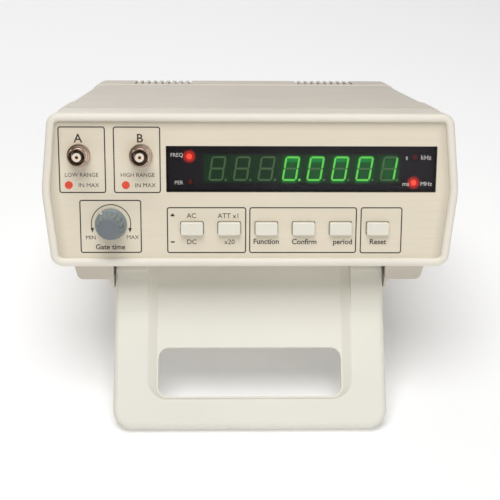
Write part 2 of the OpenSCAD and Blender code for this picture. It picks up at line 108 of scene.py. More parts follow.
def screen(*channels):
    """A colour as it looks on a screen, made linear."""
    return tuple(((c + 0.055) / 1.055) ** 2.4 if c > 0.04 else c / 12.92 for c in channels)


def colour(name, description, *channels):
    return bpy.props.FloatVectorProperty(name=name, description=description, size=3, min=0, max=1,
                                         subtype="COLOR", default=screen(*channels))


class CaseSettings(bpy.types.PropertyGroup):
    """Sizes of the covers, bezel and rails."""

    width: length("Width", "Width across the middle of the case", 250, 240, 260)
    flat_width: length("Flat Width", "Width across its top and bottom", 240.4, 232, 242)
    corner: length("Corner", "Radius of the case's corners", 7.5, 5, 9)
    bulge: length("Bulge", "Radius at the middle of its sides", 40, 20, 60)
    wall: length("Wall", "Thickness of the covers", 2.2, 1.5, 2.6)
    band_rise: length("Band Rise", "Height of the raised bands", 0.9, 0.4, 1.5)
    rim: length("Rim", "Width of the rim round the panel", 5.2, 5, 6)
    rim_round: length("Rim Rounding", "Radius of the rim's outer edge", 2.7, 1, 2.8)
    rim_inner: length("Rim Inside", "Radius of the rim's inner edge", 2.2, 1, 2.2)
    step: length("Step", "How far the covers stand proud of the bezel", 0.5, 0.2, 1.2)
    seam: length("Seam", "Gap between the covers", 0.3, 0.1, 0.6)


class HandleSettings(bpy.types.PropertyGroup):
    """Sizes of the handle."""

    width: length("Width", "Width of the handle", 169.2, 160, 169.2)
    reach: length("Reach", "Length from its hinge to its tip", 99.9, 90, 110)
    thickness: length("Thickness", "Thickness of its arms and bar", 10, 9, 10)
    web: length("Web", "Thickness of the web between its arms", 3, 2, 5)
    hole_width: length("Hole Width", "Width of the hand hole", 114, 100, 116)
    hole_start: length("Hole Start", "From its hinge to the hand hole", 49.6, 45, 55)
    hole_end: length("Hole End", "From its hinge to the bar", 80, 76, 82)
    corner: length("Corner", "Radius of its two lower corners", 12, 8, 16)


class ControlSettings(bpy.types.PropertyGroup):
    """Sizes of the controls and the display."""

    cap_width: length("Cap Width", "Width of a button cap", 13.5, 12, 13.6)
    cap_height: length("Cap Height", "Height of a button cap", 7.9, 7, 8)
    knob_diameter: length("Knob Diameter", "Diameter of the knob's skirt", 19, 18, 20)
    knob_height: length("Knob Height", "How far the knob stands out", 15, 13, 16)
    digit_height: length("Digit Height", "Height of a lit figure", 14.8, 12, 15)
    digit_width: length("Digit Width", "Width of a lit figure", 8.9, 7, 10)
    stroke: length("Stroke", "Width of a digit's bars", 1.1, 0.8, 2)
    reading: bpy.props.StringProperty(
        name="Reading", description="What the display shows, a blank for an unlit digit",
        default="   0.0001")


class ColourSettings(bpy.types.PropertyGroup):
    """Colours of the finishes."""

    shell: colour("Covers", "Covers and rails", 0.845, 0.815, 0.765)
    bezel: colour("Bezel", "Bezel", 0.90, 0.875, 0.825)
    handle: colour("Handle", "Handle and stand", 0.885, 0.875, 0.83)
    panel: colour("Panel", "Front and rear panel", 0.875, 0.835, 0.755)
    ink: colour("Ink", "Printed lines and letters", 0.17, 0.15, 0.14)
    red_ink: colour("Red Ink", "Printed level marks", 0.88, 0.30, 0.20)
    cap: colour("Caps", "Button caps", 0.885, 0.87, 0.815)
    knob: colour("Knob", "Gate time knob", 0.43, 0.455, 0.47)
    nickel: colour("Plating", "Plating of the sockets", 0.74, 0.66, 0.60)
    filter: colour("Window", "Smoked window", 0.13, 0.105, 0.125)
    lit: colour("Lit Digit", "Bars of a digit that are lit", 0.38, 0.82, 0.32)
    unlit: colour("Unlit Digit", "Bars of a digit that aren't lit", 0.33, 0.48, 0.30)
    glow: colour("Glow", "Green round the lit digits", 0.04, 0.60, 0.24)
    lamp: colour("Lamps", "Indicator lamps that are lit", 1.0, 0.22, 0.16)
    floor: colour("Floor", "Floor of the stage", 0.93, 0.93, 0.93)


# ---- finishes ---------------------------------------------------------------

class Signal:
    """What a shader socket gives out. Arithmetic on it adds Math nodes."""

    def __init__(self, finish, socket):
        self.finish = finish
        self.socket = socket

    def math(self, operation, *values):
        return self.finish.node("ShaderNodeMath", {"operation": operation}, dict(enumerate(values)))

    def __add__(self, other):
        return self.math("ADD", self, other)

    def __sub__(self, other):
        return self.math("SUBTRACT", self, other)

    def __rsub__(self, other):
        return self.math("SUBTRACT", other, self)

    def __mul__(self, other):
        return self.math("MULTIPLY", self, other)

    def __truediv__(self, other):
        return self.math("DIVIDE", self, other)

    def __gt__(self, other):
        return self.math("GREATER_THAN", self, other)

    __radd__ = __add__
    __rmul__ = __mul__

    def whole(self):
        return self.math("FLOOR", self)

    def size(self):
        return self.math("ABSOLUTE", self)

    def root(self):
        return self.math("SQRT", self)

    def least(self, other):
        return self.math("MINIMUM", self, other)

    def ease(self, low, high):
        """0 below low and 1 above high, smoothly between."""
        return self.finish.node("ShaderNodeMapRange", {"interpolation_type": "SMOOTHSTEP"},
                                {"Value": self, "From Min": low, "From Max": high})


class Finish:
    """A material under construction round one Principled shader."""

    def __init__(self, name, **constants):
        self.material = bpy.data.materials.new(name)
        self.material.use_nodes = True
        self.tree = self.material.node_tree
        self.shader = self.tree.nodes["Principled BSDF"]
        for socket, value in constants.items():
            self.set(socket.replace("_", " ").title().replace("Ior", "IOR"), value)

    def put(self, socket, value):
        if isinstance(value, Signal):
            self.tree.links.new(value.socket, socket)
        elif socket.type == "RGBA" and len(value) == 3:
            socket.default_value = (*value, 1)
        else:
            socket.default_value = value

    def set(self, name, value):
        self.put(self.shader.inputs[name], value)

    def colour(self):
        """What is linked to the base colour so far."""
        return Signal(self, self.shader.inputs["Base Color"].links[0].from_socket)

    def node(self, kind, settings=None, values=None, output=0):
        node = self.tree.nodes.new(kind)
        for key, value in (settings or {}).items():
            setattr(node, key, value)
        for key, value in (values or {}).items():
            self.put(node.inputs[key], value)
        return Signal(self, node.outputs[output])

    def place(self):
        return self.node("ShaderNodeTexCoord", output="Object")

    def level(self):
        """x, y and z in the level layout, in millimetres."""
        back = LEVEL.inverted()
        turned = self.node("ShaderNodeMapping", {"vector_type": "POINT"},
                           {"Vector": self.place(), "Location": back.to_translation(),
                            "Rotation": back.to_euler(), "Scale": back.to_scale()})
        node = self.node("ShaderNodeSeparateXYZ", values={0: turned}).socket.node
        return [Signal(self, output) for output in node.outputs]

    def noise(self, scale, detail=2.0, roughness=0.5, vector=None):
        return self.node("ShaderNodeTexNoise", values={"Vector": vector or self.place(), "Scale": scale,
                                                       "Detail": detail, "Roughness": roughness})

    def mix(self, share, a, b):
        values = {0: share, 6: a, 7: b}
        return self.node("ShaderNodeMix", {"data_type": "RGBA"}, values, output=2)

    def bump(self, height, depth, strength=1.0):
        self.set("Normal", self.node("ShaderNodeBump", values={"Height": height, "Distance": depth,
                                                               "Strength": strength}))


def shade(tone, factor):
    return tuple(min(1, c * factor) for c in tone)


MAKERS = {}
MADE = {}


def listed(maker):
    """Lists the maker of a finish under its own name."""
    MAKERS[maker.__name__] = maker
    return maker


def look(name):
    """The finish of that name, made once, on first use."""
    if name not in MADE:
        tones = bpy.context.scene.counter_colours
        if name in PLAIN:
            maker, tone, *values = PLAIN[name]
            made = maker(name, getattr(tones, tone) if isinstance(tone, str) else tone, *values)
        else:
            made = MAKERS[name](tones)
        MADE[name] = made.material
    return MADE[name]


def moulded(name, tone, roughness, grain, depth, clouds=0.04):
    """Moulded plastic: fine grain, faint clouds in its colour, and a slightly uneven sheen."""
    skin = Finish(name, specular_ior_level=0.42)
    cloud = skin.noise(14, 3)
    skin.set("Base Color", skin.mix(cloud.ease(0.3, 0.7), shade(tone, 1 - clouds), shade(tone, 1 + clouds)))
    pits = skin.noise(grain, 2, 0.6)
    skin.set("Roughness", roughness - 0.05 + 0.06 * cloud + 0.06 * pits)
    skin.bump(pits, depth, 0.5)
    return skin


@listed
def panel_film(tones):
    """Satin film, with the faint long streaks of its roller, and painted shade along the rim's top and sides."""
    skin = Finish("panel_film", specular_ior_level=0.4)
    x, y, z = skin.level()
    along = skin.node("ShaderNodeCombineXYZ", values={0: x * 0.02, 1: y * 0.02, 2: z * 0.6})
    streak = skin.noise(1, 3, vector=along)
    cloud = skin.noise(22, 2)
    tone = skin.mix(cloud.ease(0.3, 0.7), shade(tones.panel, 0.985), shade(tones.panel, 1.015))
    tone = skin.mix(streak.ease(0.35, 0.75), tone, shade(tones.panel, 0.975))
    # the panel's half height, its half width at the middle, and how far its sides lean in
    top, side, lean = 41.3, 119.6, 0.103
    edge = (top - z).least(side - x.size() - lean * z.size())
    # painted shade: the film is darkened towards the rim's top and sides, where the rim's shadow falls
    skin.set("Base Color", skin.mix(edge.ease(-1, 6.5), shade(tones.panel, 0.78), tone))
    skin.set("Roughness", 0.46 + 0.08 * streak)
    skin.bump(skin.noise(2600), 0.00003, 0.4)
    return skin


def printed(name, tone, worn_tone, roughness=0.5, wear=0.3):
    """Printing ink, worn a little lighter in spots."""
    skin = Finish(name, roughness=roughness)
    worn = skin.noise(900, 2)
    skin.set("Base Color", skin.mix(worn.ease(wear, 0.8), tone, worn_tone))
    return skin


@listed
def ink(tones):
    return printed("ink", tones.ink, shade(tones.ink, 1.5))


@listed
def red_ink(tones):
    return printed("red_ink", tones.red_ink, shade(tones.red_ink, 1.2), 0.45, 0.4)


@listed
def white_ink(tones):
    return printed("white_ink", screen(0.74, 0.73, 0.71), screen(0.84, 0.82, 0.80))


@listed
def knob_plastic(tones):
    """Blue-grey plastic, with a painted sheen that makes its ribbed side lighter, and worn patches."""
    skin = moulded("knob_plastic", tones.knob, 0.40, 1700, 0.00006, 0.05)
    y = skin.level()[1]
    worn = skin.noise(420, 4, 0.65)
    under = skin.colour()
    # painted sheen: the ribbed side is painted lighter than the face, standing in for highlights on the flutes
    ribbed = skin.mix((y - KNOB_FACE).ease(0, 0.8), under, screen(0.50, 0.545, 0.55))
    rubbed = skin.mix(worn.ease(0.6, 0.8) * 0.45, ribbed, shade(tones.knob, 1.7))
    skin.set("Base Color", rubbed)
    return skin


def plated(name, tone, roughness, streaks):
    """Bright plate with fine turning marks and a little tarnish."""
    skin = Finish(name, metallic=1.0)
    x, y, z = skin.level()
    turning = skin.node("ShaderNodeCombineXYZ", values={0: x * 0.3, 1: y * streaks, 2: z * 0.3})
    marks = skin.noise(1, 2, vector=turning)
    tarnish = skin.noise(260, 3)
    skin.set("Base Color", skin.mix(tarnish.ease(0.45, 0.75), tone, shade(tone, 0.72)))
    skin.set("Roughness", roughness + 0.12 * marks + 0.08 * tarnish)
    skin.bump(marks, 0.00003, 0.5)
    return skin


@listed
def nickel(tones):
    """Plating, painted dark brown on the barrels' front lips as a painted reflection of a dark room."""
    skin = plated("nickel", tones.nickel, 0.12, 9)
    y = skin.level()[1]
    under = skin.colour()
    # painted reflection: the front lips are painted dark brown, as they look when they reflect a dark room
    skin.set("Base Color", skin.mix((y - SOCKET_LIP).ease(0, 0.6), screen(0.34, 0.25, 0.21), under))
    return skin


@listed
def circuit_board(tones):
    """Green solder resist over a faint weave and copper tracks."""
    skin = Finish("circuit_board", coat_weight=0.3)
    x, y, z = skin.level()
    across, along = x * 0.9, y * 0.7 + z * 0.8
    tracks = (across.math("SINE", across) * along.math("SINE", along)).ease(0.1, 0.25)
    skin.set("Base Color", skin.mix(tracks, screen(0.08, 0.30, 0.17), screen(0.16, 0.42, 0.24)))
    skin.set("Roughness", 0.3 + 0.15 * skin.noise(600))
    return skin


@listed
def clear_glass(tones):
    skin = Finish("clear_glass", roughness=0.05, alpha=0.35)
    skin.set("Base Color", skin.mix(skin.noise(300), screen(0.8, 0.86, 0.86), screen(0.9, 0.93, 0.93)))
    return skin


@listed
def smoked_acrylic(tones):
    """Clear dark acrylic with faint wiping marks in its gloss."""
    skin = Finish("smoked_acrylic", alpha=0.22, specular_ior_level=0.25)
    wipe = skin.noise(60, 4, 0.6)
    skin.set("Base Color", skin.mix(wipe.ease(0.3, 0.8), shade(tones.filter, 0.9), shade(tones.filter, 1.1)))
    skin.set("Roughness", 0.10 + 0.10 * wipe)
    return skin


def glowing(name, tone, strength, base):
    """A plastic face that gives out light, slightly uneven in it; on the unlit bars and lamps the faint light is a
    painted glow.
    """
    skin = Finish(name, emission_strength=strength, roughness=0.4)
    spots = skin.noise(700, 2)
    skin.set("Base Color", base)
    skin.set("Emission Color", skin.mix(spots.ease(0.2, 0.8), shade(tone, 0.85), tone))
    return skin


@listed
def lit_bar(tones):
    return glowing("lit_bar", tones.lit, 1.5, shade(tones.lit, 0.4))


@listed
def unlit_bar(tones):
    # painted glow: the unlit bars give out a faint light of their own
    return glowing("unlit_bar", tones.unlit, 0.35, tones.unlit)


@listed
def lit_lamp(tones):
    return glowing("lit_lamp", tones.lamp, 4.0, shade(tones.lamp, 0.5))


@listed
def unlit_lamp(tones):
    # painted glow: the unlit lamps give out a faint light of their own
    return glowing("unlit_lamp", shade(tones.lamp, 0.2), 0.15, shade(tones.lamp, 0.16))


@listed
def display_face(tones):
    """Dark face behind the window, green behind the digits, and lit by those and the lamps."""
    skin = Finish("display_face", emission_strength=1.0, roughness=0.5)
    x, _, z = skin.level()
    start = DIGIT_X - DIGIT_PITCH / 2
    cell = (x - start) / DIGIT_PITCH
    among = ((x - start + 3).ease(0, 4) * (start + 8 * DIGIT_PITCH + 1 - x).ease(0, 4)
             * (9.6 - (z - DIGIT_Z).size()).ease(0, 2.5))
    side = ((cell - cell.whole()) - 0.5) * DIGIT_PITCH
    height = z - DIGIT_Z
    away = (side * side + height * height * 0.35).root()
    reading = bpy.context.scene.counter_controls.reading
    first_lit = start + DIGIT_PITCH * (len(reading) - len(reading.lstrip()))
    last_lit = start + 7 * DIGIT_PITCH
    slanted = (side - height * LEAN).size()
    bars = (1 - (height - 5.6).size().ease(0.8, 2.4)) + (1 - (height + 9).size().ease(0.8, 2.2))
    blaze = bars * (1 - slanted.ease(3.4, 5.2)) * (1 - (x > last_lit))
    lit = (x > first_lit) * ((1 - away.ease(2.0, 8.5)) * 0.30 + blaze * 0.8)
    green = skin.mix(lit, shade(tones.glow, 0.09), tones.glow)
    lamps = None
    for lamp_x, lamp_z, on in LAMPS.values():
        if on:
            far = ((x - lamp_x) * (x - lamp_x) + (z - lamp_z) * (z - lamp_z)).root()
            spot = 1 - far.ease(1.9, 4.6)
            lamps = spot if lamps is None else lamps + spot
    skin.set("Base Color", skin.mix(among, screen(0.09, 0.08, 0.11), screen(0.06, 0.15, 0.08)))
    skin.set("Emission Color", skin.mix(lamps, skin.mix(among, (0, 0, 0), green), shade(tones.lamp, 0.8)))
    return skin


@listed
def floor_paint(tones):
    skin = Finish("floor_paint", roughness=0.9, emission_strength=0.22, emission_color=(1, 1, 1))
    skin.set("Base Color", skin.mix(skin.noise(3, 2), shade(tones.floor, 0.99), tones.floor))
    return skin


# Finishes that one call makes: the maker, its tone (a setting's name or a colour) and the rest.
PLAIN = {
    "shell_plastic": (moulded, "shell", 0.52, 1500, 0.00012, 0.025),
    "bezel_plastic": (moulded, "bezel", 0.42, 2200, 0.00005, 0.02),
    "handle_plastic": (moulded, "handle", 0.46, 1700, 0.00008, 0.02),
    "cap_plastic": (moulded, "cap", 0.28, 1800, 0.00003, 0.012),
    "white_insulator": (moulded, screen(0.90, 0.86, 0.80), 0.35, 1500, 0.00003, 0.01),
    "black_plastic": (moulded, screen(0.12, 0.12, 0.125), 0.42, 1500, 0.00008, 0.15),
    "rubber": (moulded, screen(0.10, 0.10, 0.10), 0.78, 900, 0.00015, 0.2),
    "cable_plastic": (moulded, screen(0.2, 0.2, 0.21), 0.5, 800, 0.00006, 0.1),
    "winding_tape": (moulded, screen(0.62, 0.36, 0.16), 0.35, 500, 0.0001, 0.12),
    "capacitor_sleeve": (moulded, screen(0.15, 0.24, 0.40), 0.25, 700, 0.00003, 0.06),
    "zinc": (plated, screen(0.72, 0.72, 0.71), 0.3, 6),
    "gold": (plated, screen(0.83, 0.66, 0.32), 0.22, 6),
    "aluminium": (plated, screen(0.78, 0.78, 0.79), 0.35, 4),
}

# Finishes of the slots that aren't called by their finish's name.
SLOT_FINISHES = {
    "panel_plastic": "panel_film", "window_acrylic": "smoked_acrylic", "steel": "zinc",
    "insulator": "white_insulator", "digit_plastic": "unlit_bar", "lamp_red": "unlit_lamp",
    "board": "circuit_board", "copper": "winding_tape", "fuse_glass": "clear_glass",
}


def slot_finish(slot):
    return look(SLOT_FINISHES.get(slot, slot))


# ---- modelling --------------------------------------------------------------

def tangent(radius, corner_angle):
    """How far along its sides a corner's rounding of that radius reaches."""
    return radius / math.tan(corner_angle / 2)


def round_corner(bm, vert, radius, segments):
    """Rounds one corner of a flat outline."""
    arms = [e.other_vert(vert).co - vert.co for e in vert.link_edges]
    reach = tangent(radius, arms[0].angle(arms[1]))
    bmesh.ops.bevel(bm, geom=[vert], offset=reach, offset_type="ABSOLUTE", segments=segments,
                    profile=0.5, affect="VERTICES", material=-1, clamp_overlap=False)


def outline(bm, corners, radii=None, y=0, segments=6):
    """A flat face across x and z, facing forwards, with rounded corners."""
    verts = [bm.verts.new((x, y, z)) for x, z in corners]
    bm.faces.new(verts)
    for vert, radius in zip(verts, radii or []):
        if radius:
            round_corner(bm, vert, radius, segments)
    bm.faces.ensure_lookup_table()
    return bm.faces[-1]


def rectangle(w, h, x=0, z=0):
    return [(x + w / 2, z + h / 2), (x - w / 2, z + h / 2), (x - w / 2, z - h / 2), (x + w / 2, z - h / 2)]


def moved_to(drawn, y):
    """Moves the points of what was just drawn to another depth, and gives them."""
    ends = [v for v in drawn if isinstance(v, bmesh.types.BMVert)]
    for vert in ends:
        vert.co.y = y
    return ends


def drawn_out(bm, edges, y):
    """Draws open edges along y to another depth, and gives the new points."""
    return moved_to(bmesh.ops.extrude_edge_only(bm, edges=edges)["geom"], y)


def thicken(bm, faces, y):
    """Extrudes flat faces to another depth and leaves a closed solid."""
    moved_to(bmesh.ops.extrude_face_region(bm, geom=faces)["geom"], y)
    bmesh.ops.recalc_face_normals(bm, faces=bm.faces[:])


def slab(bm, corners, radii, y0, y1, segments=6):
    """A closed flat solid with rounded corners, from y0 to y1."""
    part = bmesh.new()
    outline(part, corners, radii, y0, segments)
    thicken(part, part.faces[:], y1)
    add(bm, part)


def add(bm, part):
    """Puts one drawing into another."""
    mesh = bpy.data.meshes.new("part")
    part.to_mesh(mesh)
    part.free()
    bm.from_mesh(mesh)
    bpy.data.meshes.remove(mesh)


def turned(bm, profile, x, z, steps=48):
    """A body turned round an axis along y, from points of radius and y."""
    part = bmesh.new()
    verts = [part.verts.new((r, y, 0)) for r, y in profile]
    edges = [part.edges.new(pair) for pair in zip(verts, verts[1:])]
    bmesh.ops.spin(part, geom=verts + edges, cent=(0, 0, 0), axis=(0, 1, 0), angle=math.tau,
                   steps=steps, use_merge=True)
    bmesh.ops.remove_doubles(part, verts=part.verts[:], dist=0.001)
    bmesh.ops.recalc_face_normals(part, faces=part.faces[:])
    bmesh.ops.translate(part, verts=part.verts[:], vec=(x, 0, z))
    add(bm, part)


def turn_flat(bm, angle, axis, place):
    """Turns a drawing about one axis, then moves it."""
    turn = Matrix.Translation(place) @ Matrix.Rotation(angle, 4, axis)
    bmesh.ops.transform(bm, matrix=turn, verts=bm.verts[:])


def piece(bm, name, body, slot, stands_for=(), finish=None, at=LEVEL, edge=0.3, segments=2, wall=0,
          weighted=False, clamp=True, smooth=35):
    """Makes the drawing an object on its body, edges rounded, in the slot's finish or another."""
    bmesh.ops.transform(bm, matrix=at, verts=bm.verts[:])
    mesh = bpy.data.meshes.new(name)
    bm.to_mesh(mesh)
    bm.free()
    made = bpy.data.objects.new(name, mesh)
    bpy.context.scene.collection.objects.link(made)
    mesh.materials.append(look(finish) if finish else slot_finish(slot))
    mesh.shade_smooth()
    mesh.set_sharp_from_angle(angle=math.radians(smooth))
    if wall:
        solid = made.modifiers.new("wall", "SOLIDIFY")
        solid.thickness = wall * MM
        solid.offset = -1
        solid.use_even_offset = True
    if edge:
        bevel = made.modifiers.new("edges", "BEVEL")
        bevel.width = edge * MM
        bevel.segments = segments
        bevel.limit_method = "WEIGHT" if weighted else "ANGLE"
        bevel.angle_limit = math.radians(smooth)
        bevel.use_clamp_overlap = clamp
        made.modifiers.new("normals", "WEIGHTED_NORMAL").keep_sharp = True
    if stands_for:
        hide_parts(*stands_for)
    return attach(made, body)


def lettering(bm, words, x, z, height, y=RIM_DEPTH, bold=0.0, facing=0.0):
    """Raises printed words from a surface that faces forwards, or turned by facing."""
    text = bpy.data.curves.new("words", "FONT")
    text.body = words
    text.size = height
    text.align_x = "CENTER"
    text.align_y = "CENTER"
    text.extrude = 0.02
    text.offset = bold
    text.resolution_u = 3
    holder = bpy.data.objects.new("words", text)
    mesh = bpy.data.meshes.new_from_object(holder)
    turn = Matrix.Rotation(facing, 4, "Z") @ Matrix.Rotation(math.pi / 2, 4, "X")
    mesh.transform(Matrix.Translation((x, y, z)) @ turn)
    bm.from_mesh(mesh)
    bpy.data.objects.remove(holder)
    bpy.data.meshes.remove(mesh)
    bpy.data.curves.remove(text)


def framed(bm, left, right, low, high, line=0.7, radius=1.6):
    """A printed box line."""
    part = bmesh.new()
    w, h = right - left, high - low
    middle = ((left + right) / 2, (low + high) / 2)
    outer = outline(part, rectangle(w, h, *middle), [radius] * 4, RIM_DEPTH - 0.02)
    bmesh.ops.inset_region(part, faces=[outer], thickness=line, use_even_offset=True, use_boundary=True)
    inner = max(part.faces, key=lambda f: len(f.verts))
    bmesh.ops.delete(part, geom=[inner], context="FACES")
    thicken(part, part.faces[:], RIM_DEPTH + 0.02)
    add(bm, part)


# ---- the case ---------------------------------------------------------------

def case_face(bm, y, case):
    """The case's six-cornered outline at one depth."""
    w, f = case.width / MM / 2, case.flat_width / MM / 2
    corners = [(w, 0), (f, HALF_H), (-f, HALF_H), (-w, 0), (-f, -HALF_H), (f, -HALF_H)]
    r, bulge = case.corner / MM, case.bulge / MM
    return outline(bm, corners, [bulge, r, r, bulge, r, r], y, 8)


def side_walls(bm, y0, y1, case):
    """The case's outline drawn back as an open tube that faces outwards."""
    face = case_face(bm, y0, case)
    bmesh.ops.delete(bm, geom=[face], context="FACES_ONLY")
    drawn_out(bm, bm.edges[:], y1)
    for f in bm.faces:
        if f.normal.dot(f.calc_center_median() * Vector((1, 0, 1))) < 0:
            f.normal_flip()


def cut(bm, point, normal, only=None, clear=False):
    """Cuts the drawing, or the faces that only picks, along a plane."""
    faces = [f for f in bm.faces if only is None or only(f)]
    verts = {v for f in faces for v in f.verts}
    edges = {e for f in faces for e in f.edges}
    bmesh.ops.bisect_plane(bm, geom=[*faces, *edges, *verts], dist=0.0001, plane_co=point,
                           plane_no=normal, clear_outer=clear)


def vents(bm, x, y0, y1, side, pitch=5.35, slot=2.6):
    """Cuts a row of nine slots through the top (side 1) or the bottom (side -1)."""
    def spans(face):
        depths = [v.co.y for v in face.verts]
        across = side * face.calc_center_median().z > HALF_H - 4
        return across and min(depths) < y1 - 0.01 and max(depths) > y0 + 0.01

    def inside(face):
        depths = [v.co.y for v in face.verts]
        return spans(face) and min(depths) > y0 - 0.01 and max(depths) < y1 + 0.01

    def is_slot(face):
        step = (face.calc_center_median().x - x) / pitch
        return inside(face) and abs(step) < 4.5 and abs(step - round(step)) < slot / pitch / 2

    for y in (y0, y1):
        if y < CASE_DEPTH:
            cut(bm, (0, y, 0), (0, 1, 0), spans)
    for i in range(-4, 5):
        for edge in (-slot / 2, slot / 2):
            cut(bm, (x + i * pitch + edge, 0, 0), (1, 0, 0), inside)
    return [f for f in bm.faces if is_slot(f)]


def cover(case, half):
    """One cover, as a sheet: the tube with its raised bands, cut at mid height."""
    bm = bmesh.new()
    side_walls(bm, BEZEL_DEPTH, CASE_DEPTH, case)
    rise = case.band_rise / MM
    for y in (BANDS[0][1], BANDS[1][0]):
        cut(bm, (0, y, 0), (0, 1, 0))
    middle = [f for f in bm.faces if BANDS[0][1] < f.calc_center_median().y < BANDS[1][0]]
    bmesh.ops.inset_region(bm, faces=middle, thickness=rise, depth=-rise, use_even_offset=True)
    cut(bm, (0, 0, half * case.seam / MM / 2), (0, 0, -half), clear=True)
    return bm


def rail_outline():
    return [(85.3, -HALF_H + 0.8), (85.3, RAIL_Z), (107.2, RAIL_Z), (111, -HALF_H + 0.8)]


def both_sides(bm):
    """Mirrors the drawing to the other side of x = 0."""
    other = bm.copy()
    bmesh.ops.scale(other, vec=(-1, 1, 1), verts=other.verts[:])
    bmesh.ops.reverse_faces(other, faces=other.faces[:])
    add(bm, other)


class COUNTER_OT_covers(bpy.types.Operator):
    """Top and bottom cover, with their vents"""

    bl_idname = "counter.covers"
    bl_label = "Covers"

    def execute(self, context):
        case = context.scene.counter_case
        top = cover(case, 1)
        for x in TOP_VENT_X:
            slots = vents(top, x, TOP_VENT_START, TOP_VENT_END, 1)
            bmesh.ops.delete(top, geom=slots, context="FACES")
            grooves = vents(top, x, TOP_VENT_END, CASE_DEPTH, 1)
            bmesh.ops.inset_region(top, faces=grooves, thickness=0.05, depth=-1.2)
        wall = case.wall / MM
        piece(top, "top_shell", "case", "shell_plastic", ["top_cover"], wall=wall, edge=0.45)
        bottom = cover(case, -1)
        for x in BOTTOM_VENT_X:
            slots = vents(bottom, x, BOTTOM_VENT_START, BOTTOM_VENT_END, -1)
            bmesh.ops.delete(bottom, geom=slots, context="FACES")
        piece(bottom, "bottom_shell", "case", "shell_plastic", ["bottom_cover"], wall=wall, edge=0.45)
        return {"FINISHED"}


class COUNTER_OT_rails(bpy.types.Operator):
    """The bottom cover's rails with their hinge lugs, and the rubber feet"""

    bl_idname = "counter.rails"
    bl_label = "Rails and Feet"

    def execute(self, context):
        rail_start, rail_end = 22, 262
        lug_radius, lug_width, lug_x = 10.5, 2.5, 87.8
        bm = bmesh.new()
        slab(bm, rail_outline(), [0, 1.2, 3.5, 0], rail_start, rail_end)
        lug = bmesh.new()
        low = HINGE_Z - lug_radius
        shape = rectangle(2 * lug_radius, -HALF_H - low, HINGE_Y, (low - HALF_H) / 2)
        slab(lug, shape, [0, 0, lug_radius - 0.1, lug_radius - 0.1], 0, lug_width, 10)
        turn_flat(lug, math.pi / 2, "Z", (lug_x, 0, 0))
        add(bm, lug)
        both_sides(bm)
        piece(bm, "rails", "case", "shell_plastic", ["bottom_cover"], edge=0.6, segments=3)
        feet = bmesh.new()
        for x, y in FEET:
            part = bmesh.new()
            turned(part, [(0, 0), (2.2, 0), (2.2, 0.8), (6.2, 1), (8.3, 0), (9, 0.7), (9, 8.2),
                          (8.4, FOOT_HEIGHT), (0, FOOT_HEIGHT)], 0, 0)
            turn_flat(part, math.pi / 2, "X", (x, y, RAIL_Z - FOOT_HEIGHT))
            add(feet, part)
        piece(feet, "feet", "case", "rubber", ["rubber_feet"], edge=0)
        return {"FINISHED"}


class COUNTER_OT_bezel(bpy.types.Operator):
    """Front bezel with its rounded rim"""

    bl_idname = "counter.bezel"
    bl_label = "Bezel"

    def execute(self, context):
        case = context.scene.counter_case
        bm = bmesh.new()
        front = case_face(bm, 0, case)
        outer = front.edges[:]
        for vert in drawn_out(bm, outer, BEZEL_DEPTH):
            vert.co.x *= 1 - case.step / (case.width / 2)
            vert.co.z *= 1 - case.step / (HALF_H * MM)
        bmesh.ops.inset_region(bm, faces=[front], thickness=case.rim / MM, use_even_offset=True)
        opening = max((f for f in bm.faces if abs(f.normal.y) > 0.9), key=lambda f: len(f.verts))
        inner = opening.edges[:]
        bmesh.ops.delete(bm, geom=[opening], context="FACES_ONLY")
        drawn_out(bm, inner, RIM_DEPTH + 0.9)
        for edges, radius in ((outer, case.rim_round), (inner, case.rim_inner)):
            bmesh.ops.bevel(bm, geom=edges, offset=radius / MM, segments=6, profile=0.5,
                            affect="EDGES", material=-1)
        bmesh.ops.recalc_face_normals(bm, faces=bm.faces[:])
        ring = min(bm.faces, key=lambda f: f.calc_center_median().y)
        if ring.normal.y > 0:
            bmesh.ops.reverse_faces(bm, faces=bm.faces[:])
        piece(bm, "bezel", "case", "bezel_plastic", ["front_bezel"], wall=1.5, edge=0.4)
        return {"FINISHED"}


# ---- the handle -------------------------------------------------------------

